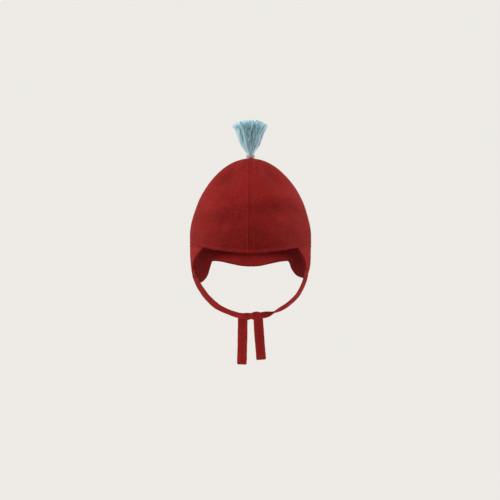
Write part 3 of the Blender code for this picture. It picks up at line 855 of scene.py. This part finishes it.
def make_strap(name, rings, place, material):
    """Closed mesh through rings of points, with its two ends filled from their centres."""
    count, sides = rings.shape[:2]
    ids = np.arange(count * sides).reshape(count, sides)
    faces = grid_faces(ids, True).tolist()
    for end, ring in enumerate((ids[0], ids[-1])):
        centre = count * sides + end
        faces.extend(np.stack((ring, np.roll(ring, -1), np.full(sides, centre)), axis=-1).tolist())
    points = np.concatenate((rings.reshape(-1, 3), rings[:1].mean(axis=1), rings[-1:].mean(axis=1)))
    places = np.concatenate((place.reshape(-1, 3), place[:1].mean(axis=1), place[-1:].mean(axis=1)))
    return make_piece(name, points, faces, places, material)


# Tassel

TASSEL_SEED = 7
STRANDS = 220
THREADS_PER_STRAND = 4
THREAD_RADIUS = 0.00028
THREAD_TAPER = 0.25
THREAD_TAPER_REACH = 0.3
THREAD_SIDES = 5
THREAD_STEPS = 16
STRAND_RADIUS_LOW = 0.00028
STRAND_RADIUS_HIGH = 0.00042
INNERMOST = 0.10
OUTERMOST = 0.98
TASSEL_BASE = WALL + SEAM_GAP

# Direction that no thread takes, so that each ring of a thread can start square to it
RING_START = (0.31, 0.95, 0.02)

# Lengths as shares of TASSEL_HEIGHT, and how far they vary
STRAND_LENGTH = 0.985
STRAND_LENGTH_SPREAD = 0.006
THREAD_LENGTH_SPREAD = 0.016
TOP_DROP = 0.12

# Course of a strand: how uneven its turn round the neck is, the turn it swirls, its crimp and
# its bend. Then what each thread adds: its uneven turn and its place in the strand, the turn it
# twists there, and how far its end strays in the core and at the outside.
STRAND_TURN = 0.25
SWIRL = (0.1, 0.5)
CRIMP = 0.0011
CRIMP_WAVES = (2.2, 4.2)
DRIFT = 0.0013
DRIFT_BEND = (1.5, 3.2)
THREAD_TURN = 0.4
THREAD_PLACE = (0.1, 1.0)
THREAD_TWIST = 2.2
STRAY_CORE = 0.00030
STRAY_OUTSIDE = 0.0007

# Tints from 0, dark, to 1, light, with painted light at the neck and painted shade at the cut ends
TINTS = (0.0, 0.1, 0.8, 1.0)
TINT_SPREAD = 0.1
TINT_LIMIT = 1.2
NECK_PAINTED_LIGHT = 0.35
END_PAINTED_SHADE = 0.38


def outline_radius(share):
    """Radius of the tassel at shares of its height."""
    heights = [row["height"] for row in TASSEL_OUTLINE]
    spreads = [row["spread"] for row in TASSEL_OUTLINE]
    return NECK_RADIUS + np.interp(share, heights, spreads) * (TASSEL_SPREAD - NECK_RADIUS)


def tubes(paths, radii, sides):
    """Rings of points round each path: (paths, steps, sides, 3). radii holds one for each step."""
    heading = unit(np.gradient(paths, axis=1))
    first = unit(np.cross(heading, RING_START))
    second = np.cross(heading, first)
    angle = 2 * math.pi * np.arange(sides) / sides
    ring = first[:, :, None] * np.cos(angle)[:, None] + second[:, :, None] * np.sin(angle)[:, None]
    return paths[:, :, None] + radii[:, None, None] * ring


def tube_faces(count, steps, sides):
    """Quads of the tubes, and a fan over each end, whose centre vertices come last."""
    ids = np.arange(count * steps * sides).reshape(count, steps, sides)
    quads = np.stack((ids[:, :-1], ids[:, 1:], np.roll(ids, -1, axis=2)[:, 1:],
                      np.roll(ids, -1, axis=2)[:, :-1]), axis=-1).reshape(-1, 4)
    fans = []
    for end in (0, steps - 1):
        centres = count * steps * sides + (0 if end == 0 else count) + np.arange(count)
        ring = ids[:, end]
        fans.append(np.stack((ring, np.roll(ring, -1, axis=1),
                              np.repeat(centres[:, None], sides, axis=1)), axis=-1).reshape(-1, 3))
    return quads.tolist() + np.concatenate(fans).tolist()


def make_threads(name, paths, radii, lengths, tints, sides, material):
    """One mesh of many round threads. lengths are those along a thread, in mm, at each step."""
    count, steps = paths.shape[:2]
    place = np.stack(np.broadcast_arrays(0.0, lengths, tints), axis=-1)
    rings = tubes(paths, radii, sides)
    points = np.concatenate((rings.reshape(-1, 3), paths[:, 0], paths[:, -1]))
    ring_place = np.repeat(place[:, :, None], sides, axis=2)
    ring_place[..., 0] += np.arange(sides) / sides
    places = np.concatenate((ring_place.reshape(-1, 3), place[:, 0], place[:, -1]))
    return make_piece(name, points, tube_faces(count, steps, sides), places, material, weld=False)


def make_tassel(material):
    """Strands that fan out from the neck, each splitting into fine threads with cut ends."""
    random = np.random.default_rng(TASSEL_SEED)
    golden = math.pi * (3 - math.sqrt(5))
    index = np.arange(STRANDS)
    reach = np.sqrt((index + 0.5) / STRANDS)
    angle = index * golden + random.uniform(-STRAND_TURN, STRAND_TURN, STRANDS)
    share = np.linspace(0.0, 1.0, THREAD_STEPS)
    fan = outline_radius(share) - 0.5 * STRAND_RADIUS_HIGH * share
    splay = STRAND_RADIUS_LOW + (STRAND_RADIUS_HIGH - STRAND_RADIUS_LOW) * share ** 1.6
    # Painted light at the neck and painted shade at the cut ends
    pale = NECK_PAINTED_LIGHT * (1.0 - share) ** 3 - END_PAINTED_SHADE * share ** 6
    paths = []
    tints = []
    for strand in range(STRANDS):
        swirl = angle[strand] + random.choice((-1.0, 1.0)) * random.uniform(*SWIRL) * share ** 1.5
        direction = np.array((np.sin(swirl), -np.cos(swirl)))
        sway = random.normal(0.0, 1.0, 2)
        bend = random.uniform(*DRIFT_BEND)
        phase = random.uniform(0.0, 2 * math.pi)
        length = STRAND_LENGTH - TOP_DROP * reach[strand] ** 2
        length += random.normal(0.0, STRAND_LENGTH_SPREAD)
        crimp = CRIMP * share * np.sin(2 * math.pi * random.uniform(*CRIMP_WAVES) * share + 3.0 * phase)
        drift = DRIFT * share ** 1.3 * np.sin(bend * share + phase)
        tint = random.choice(TINTS)
        out = (INNERMOST + (OUTERMOST - INNERMOST) * reach[strand]) * fan
        spine_x = direction[0] * out + sway[0] * drift - direction[1] * crimp
        spine_y = direction[1] * out + sway[1] * drift + direction[0] * crimp
        for thread in range(THREADS_PER_STRAND):
            turn = 2 * math.pi * thread / THREADS_PER_STRAND + random.uniform(-THREAD_TURN, THREAD_TURN)
            inside = math.sqrt(random.uniform(*THREAD_PLACE))
            twist = turn + THREAD_TWIST * share
            stray = random.normal(0.0, STRAY_CORE + STRAY_OUTSIDE * reach[strand] ** 4, 2)
            height = share * (length + random.normal(0.0, THREAD_LENGTH_SPREAD))
            x = spine_x + inside * splay * np.cos(twist) + stray[0] * share ** 2
            y = spine_y + inside * splay * np.sin(twist) + stray[1] * share ** 2
            x = x - TASSEL_LEAN * height ** 2
            paths.append(np.stack((x, y, TASSEL_BASE + TASSEL_HEIGHT * height), axis=-1))
            tints.append(np.clip(tint + random.normal(0.0, TINT_SPREAD) + pale, 0.0, TINT_LIMIT))
    radii = THREAD_RADIUS * (1.0 - THREAD_TAPER * (1.0 - np.minimum(1.0, share / THREAD_TAPER_REACH)))
    lengths = share * TASSEL_HEIGHT * 1000
    piece = make_threads("tassel_threads", np.array(paths), radii, lengths, np.array(tints),
                         THREAD_SIDES, material)
    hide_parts("tassel")


BINDING_TURNS = 3.5
BINDING_PLIES = 2
BINDING_PLY_RADIUS = 0.00034
BINDING_PLY_TWIST = 9.0
BINDING_PLY_SIDES = 6
BINDING_LENGTH = 0.090
BINDING_TINT = 0.5
BINDING_OUT = 0.0006
BINDING_END_TUCK = 0.0009
BINDING_END_REACH = 0.02
BINDING_FOOT = 0.0006
BINDING_RISE = 0.0028
BINDING_STEPS = 56


def make_binding(material):
    """Plied thread wound round the neck of the tassel."""
    steps = int(BINDING_TURNS * BINDING_STEPS)
    share = np.linspace(0.0, 1.0, steps)
    angle = 2 * math.pi * BINDING_TURNS * share
    tuck = bell(np.minimum(share, 1 - share), BINDING_END_REACH)
    middle = NECK_RADIUS + BINDING_OUT - BINDING_END_TUCK * tuck
    level = TASSEL_BASE + BINDING_FOOT + BINDING_RISE * share
    paths = []
    for ply in range(BINDING_PLIES):
        twist = 2 * math.pi * ply / BINDING_PLIES + angle * BINDING_PLY_TWIST
        out = middle + BINDING_PLY_RADIUS * np.cos(twist)
        height = level + BINDING_PLY_RADIUS * np.sin(twist)
        paths.append(np.stack((out * np.sin(angle), -out * np.cos(angle), height), axis=-1))
    radii = np.full(steps, BINDING_PLY_RADIUS)
    lengths = share * BINDING_LENGTH * 1000
    tints = np.full((BINDING_PLIES, steps), BINDING_TINT)
    piece = make_threads("tassel_binding_thread", np.array(paths), radii, lengths, tints,
                         BINDING_PLY_SIDES, material)
    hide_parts("tassel_binding")


# Materials

class Nodes:
    """Short calls to add and link nodes of one material."""

    def __init__(self, material):
        self.tree = material.node_tree

    def add(self, kind, inputs=None, **settings):
        node = self.tree.nodes.new(kind)
        for name, value in settings.items():
            setattr(node, name, value)
        for key, value in (inputs or {}).items():
            self.put(node.inputs[key], value)
        return node

    def put(self, socket, value):
        if isinstance(value, bpy.types.NodeSocket):
            self.tree.links.new(value, socket)
        else:
            socket.default_value = value

    def math(self, operation, a, b=None, c=None):
        given = {index: value for index, value in enumerate((a, b, c)) if value is not None}
        return self.add("ShaderNodeMath", given, operation=operation).outputs[0]

    def line(self, value, slope, start):
        return self.math("MULTIPLY_ADD", value, slope, start)

    def wave(self, turns, count=1):
        return self.math("SINE", self.math("MULTIPLY", turns, count * 2 * math.pi))

    def mix(self, share, a, b):
        node = self.add("ShaderNodeMix", data_type="RGBA")
        self.put(node.inputs["Factor"], share)
        self.put(node.inputs["A"], a)
        self.put(node.inputs["B"], b)
        return node.outputs["Result"]

    def noise(self, vector, scale, detail, roughness):
        inputs = {"Vector": vector, "Scale": scale, "Detail": detail, "Roughness": roughness}
        return self.add("ShaderNodeTexNoise", inputs).outputs["Fac"]


def plain_material(name, look):
    """Material whose shader has that look all over."""
    material = bpy.data.materials.new(name)
    material.use_nodes = True
    shader = material.node_tree.nodes["Principled BSDF"]
    for socket, value in look.items():
        shader.inputs[socket].default_value = value
    return material


def yarn_material(name, look):
    """Material of that look, with its shader and the stitch coordinates split into three."""
    material = plain_material(name, look)
    shader = material.node_tree.nodes["Principled BSDF"]
    nodes = Nodes(material)
    stitch = nodes.add("ShaderNodeAttribute", attribute_name="stitch").outputs["Vector"]
    parts = nodes.add("ShaderNodeSeparateXYZ", {0: stitch}).outputs
    place = nodes.add("ShaderNodeTexCoord").outputs["Object"]
    return material, nodes, shader, parts, place


KNIT_LIGHT = (0.298, 0.0135, 0.0115, 1.0)
KNIT_DARK = (0.118, 0.0040, 0.0036, 1.0)
KNIT_FLECK = (0.38, 0.034, 0.029, 1.0)
# Paler colour of the painted light: inside the knit, most inside the nape, on the ties and on the flaps
KNIT_PAINTED_LIGHT = (0.82, 0.052, 0.049, 1.0)
STITCH_DEPTH = 0.00036
FIBRE_DEPTH = 0.00010
KNIT_BUMP = {"Strength": 0.8, "Distance": STITCH_DEPTH}
KNIT_LOOK = {
    "Roughness": 0.92,
    "Specular IOR Level": 0.06,
    "Sheen Weight": 0.16,
    "Sheen Roughness": 0.35,
    "Sheen Tint": (0.90, 0.12, 0.10, 1.0),
}

# Noises of the yarn: scale, detail and roughness
HEATHER = (420.0, 3.0, 0.75)
PATCH = (45.0, 3.0, 0.6)
FIBRE = (2600.0, 2.0, 0.6)

# What each pattern adds to the tone, which runs from 0, dark, to 1, light
TONE_BASE = -1.11
# Painted shade between the stitches, lighter on their tops
STITCH_PAINTED_SHADE = 0.75
PATCH_TONE = 0.7
HEATHER_TONE = 1.6
# Painted shade in the dents and painted light on the swells, from the relief
FOLD_PAINTED_SHADE = 0.20

# Stitches: slant of the legs, beat of the courses, and depth of the purl bars on the inside
LEG_SLANT = -1.3
COURSE_BEAT = 0.28
PURL_DEPTH = 0.35
PURL_SCALLOP = 0.35

# How the painted light follows the tone, and the noise values between which flecks come up
PAINTED_LIGHT_TONE = 0.5
PAINTED_LIGHT_BASE = 0.55
FLECKS = {"From Min": 0.60, "From Max": 0.78, "To Max": 0.45}


def knit_material(name, light, dark, fleck, inside):
    """Fine heathered stocking stitch, with purl bars on the inside. Its colour carries painted shade
    between the stitches and in dents, painted light on swells, and a paler colour of painted light.
    """
    material, nodes, shader, parts, place = yarn_material(name, KNIT_LOOK)
    wale = nodes.math("DIVIDE", parts[0], WALE * 1000)
    course = nodes.math("DIVIDE", parts[1], COURSE * 1000)
    across = nodes.math("SUBTRACT", nodes.math("FRACT", wale), 0.5)
    away = nodes.math("ABSOLUTE", across)
    leg = nodes.wave(away)
    beat = nodes.wave(nodes.line(away, LEG_SLANT, course))
    plain = nodes.math("MULTIPLY", leg, nodes.line(beat, COURSE_BEAT, 1.0 - COURSE_BEAT))
    bar = nodes.line(nodes.wave(wale), PURL_SCALLOP, nodes.wave(course))
    purl = nodes.line(bar, PURL_DEPTH, 0.5)
    blend = nodes.add("ShaderNodeMix", {"Factor": parts[2], "A": plain, "B": purl}, data_type="FLOAT")
    stitch = blend.outputs["Result"]
    fold = nodes.add("ShaderNodeAttribute", attribute_name="fold").outputs["Fac"]
    fibre = nodes.noise(place, *FIBRE)
    # Painted shade between the stitches
    tone = nodes.line(stitch, STITCH_PAINTED_SHADE, TONE_BASE)
    tone = nodes.line(nodes.noise(place, *PATCH), PATCH_TONE, tone)
    tone = nodes.line(nodes.noise(place, *HEATHER), HEATHER_TONE, tone)
    # Painted shade in the dents and painted light on the swells
    tone = nodes.line(fold, FOLD_PAINTED_SHADE, tone)
    # Painted light: the paler colour mixed in by the share in the stitch attribute
    painted_light_share = nodes.math("MULTIPLY", parts[2], nodes.line(tone, PAINTED_LIGHT_TONE, PAINTED_LIGHT_BASE))
    colour = nodes.mix(painted_light_share, nodes.mix(tone, dark, light), inside)
    spots = nodes.add("ShaderNodeMapRange", {"Value": fibre, **FLECKS}).outputs["Result"]
    nodes.put(shader.inputs["Base Color"], nodes.mix(spots, colour, fleck))
    height = nodes.line(fibre, FIBRE_DEPTH / STITCH_DEPTH, stitch)
    bump = nodes.add("ShaderNodeBump", {"Height": height, **KNIT_BUMP})
    nodes.put(shader.inputs["Normal"], bump.outputs["Normal"])
    return material


THREAD_LIGHT = (0.72, 0.97, 1.0, 1.0)
THREAD_DARK = (0.105, 0.31, 0.40, 1.0)
BINDING_LIGHT = (0.80, 0.62, 0.62, 1.0)
BINDING_DARK = (0.46, 0.33, 0.34, 1.0)
THREAD_BUMP = {"Strength": 0.5, "Distance": 0.0001}
THREAD_LOOK = {
    "Roughness": 0.78,
    "Specular IOR Level": 0.3,
    "Sheen Weight": 0.15,
    "Sheen Roughness": 0.5,
}
THREAD_FIBRE = (1500.0, 2.0, 0.6)
THREAD_PITCH = 2.4
BINDING_PITCH = 1.6
THREAD_TONE_BASE = -0.06
TINT_TONE = 0.62
PLY_TONE = 0.10
FIBRE_TONE = 0.5


def thread_material(name, light, dark, ply_pitch):
    """Matte spun thread with a fine twist of that pitch in mm, each thread with its own tint."""
    material, nodes, shader, parts, place = yarn_material(name, THREAD_LOOK)
    twist = nodes.math("ADD", parts[0], nodes.math("DIVIDE", parts[1], ply_pitch))
    ply = nodes.wave(twist, 2)
    # The tint carries painted light at the tassel's neck and painted shade at its cut ends
    tone = nodes.line(parts[2], TINT_TONE, THREAD_TONE_BASE)
    tone = nodes.line(ply, PLY_TONE, tone)
    tone = nodes.line(nodes.noise(place, *THREAD_FIBRE), FIBRE_TONE, tone)
    nodes.put(shader.inputs["Base Color"], nodes.mix(tone, dark, light))
    bump = nodes.add("ShaderNodeBump", {"Height": ply, **THREAD_BUMP})
    nodes.put(shader.inputs["Normal"], bump.outputs["Normal"])
    return material


# Studio

CAMERA_PLACE = (-0.0006, -1.8, -0.1074)
CAMERA_LENS = 108.0
CAMERA_SENSOR = 36.0
FLOOR_LEVEL = -1.40
BOWL_RADIUS = 4.0
BOWL_CORNER = 1.8
BOWL_TOP = 5.0
BOWL_CURVE_STEPS = 16
BOWL_SIDES = 96
BOWL_WELD_REACH = 0.00001
BOWL_LOOK = {
    "Base Color": (0.03, 0.029, 0.028, 1.0),
    "Roughness": 1.0,
    "Specular IOR Level": 0.0,
    "Emission Color": (1.0, 0.972, 0.925, 1.0),
    "Emission Strength": 0.842,
}
WORLD_COLOUR = (1.0, 0.99, 0.97, 1.0)
WORLD_GLOW = 0.18

# Soft lights: aim is the point that each one faces
LIGHTS = table(
    ("name", "place", "aim", "size", "power"),
    ("top", (-0.30, -0.38, 1.35), (0.0, 0.0, -0.05), 0.7, 24.0),
    ("left", (-1.50, 0.32, -0.04), (0.0, 0.0, -0.12), 1.1, 22.0),
    ("right", (1.50, 0.30, -0.04), (0.0, 0.0, -0.12), 1.1, 26.0),
    ("front", (0.0, -1.60, -0.25), (0.0, 0.08, -0.12), 0.9, 8.6),
)


def make_bowl():
    """Pale floor that curves up all round into a backdrop."""
    curve = 0.5 * math.pi * np.linspace(0.0, 1.0, BOWL_CURVE_STEPS + 1)
    radius = BOWL_RADIUS - BOWL_CORNER * (1.0 - np.sin(curve))
    height = FLOOR_LEVEL + BOWL_CORNER * (1.0 - np.cos(curve))
    radius = np.concatenate(([0.0], radius, [BOWL_RADIUS]))[:, None]
    height = np.concatenate(([FLOOR_LEVEL], height, [BOWL_TOP]))[:, None]
    turn = 2 * math.pi * np.arange(BOWL_SIDES) / BOWL_SIDES
    x, y, z = np.broadcast_arrays(radius * np.cos(turn), radius * np.sin(turn), height)
    points = np.stack((x, y, z), axis=-1)
    ids = np.arange(radius.size * BOWL_SIDES).reshape(-1, BOWL_SIDES)
    mesh = bpy.data.meshes.new("studio_bowl")
    mesh.from_pydata(points.reshape(-1, 3).tolist(), [], grid_faces(ids, True).tolist())
    clean_mesh(mesh, BOWL_WELD_REACH)
    mesh.materials.append(plain_material("pale_backdrop", BOWL_LOOK))
    bowl = add_object("studio_bowl", mesh)
    bowl.visible_diffuse = False
    bowl.visible_shadow = False


def make_studio():
    """Backdrop, even surrounding light, soft lights and the camera."""
    make_bowl()
    world = bpy.data.worlds.new("studio_world")
    world.use_nodes = True
    background = world.node_tree.nodes["Background"]
    background.inputs["Color"].default_value = WORLD_COLOUR
    background.inputs["Strength"].default_value = WORLD_GLOW
    bpy.context.scene.world = world
    for row in LIGHTS:
        lamp = bpy.data.lights.new(row["name"], "AREA")
        lamp.size = row["size"]
        lamp.energy = row["power"]
        light = add_object(row["name"], lamp)
        light.location = row["place"]
        light.visible_camera = False
        aim = Vector(row["aim"]) - Vector(row["place"])
        light.rotation_euler = aim.to_track_quat("-Z", "Y").to_euler()
    lens = bpy.data.cameras.new("camera")
    lens.lens = CAMERA_LENS
    lens.sensor_width = CAMERA_SENSOR
    camera = add_object("camera", lens)
    camera.location = CAMERA_PLACE
    camera.rotation_euler = (math.pi / 2, 0.0, 0.0)
    bpy.context.scene.camera = camera
    bpy.context.scene.view_settings.view_transform = "Standard"


make_studio()
knit = knit_material("knit_red_wool", KNIT_LIGHT, KNIT_DARK, KNIT_FLECK, KNIT_PAINTED_LIGHT)
thread = thread_material("thread_blue_cotton", THREAD_LIGHT, THREAD_DARK, THREAD_PITCH)
wound = thread_material("binding_grey_cotton", BINDING_LIGHT, BINDING_DARK, BINDING_PITCH)
for side in SIGN:
    make_crown(side, knit)
    make_flap(side, knit)
    make_tie(side, knit)
make_tassel(thread)
make_binding(wound)
